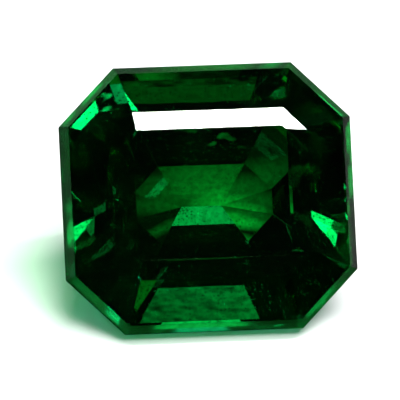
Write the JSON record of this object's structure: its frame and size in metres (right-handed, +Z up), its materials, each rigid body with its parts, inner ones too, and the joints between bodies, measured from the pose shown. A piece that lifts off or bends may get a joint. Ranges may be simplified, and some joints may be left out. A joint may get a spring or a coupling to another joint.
{
  "type": "cut emerald gemstone",
  "caption": "Loose step-cut green gemstone: octagonal outline with cut corners, stepped crown, flat table and stepped pavilion closing in a keel, lying on a long pavilion facet.",
  "frame": {"origin": "middle of the long pavilion facet that the stone lies on, at ground level", "axes": "+X along the stone's length, +Z up, -Y towards the side that the table leans to"},
  "size_m": [0.01, 0.0069, 0.0067],
  "materials": {
    "emerald": "polished clear green crystal with faint inclusions"
  },
  "bodies": {
    "root": {"emerald": "emerald"}
  },
  "joints": []
}
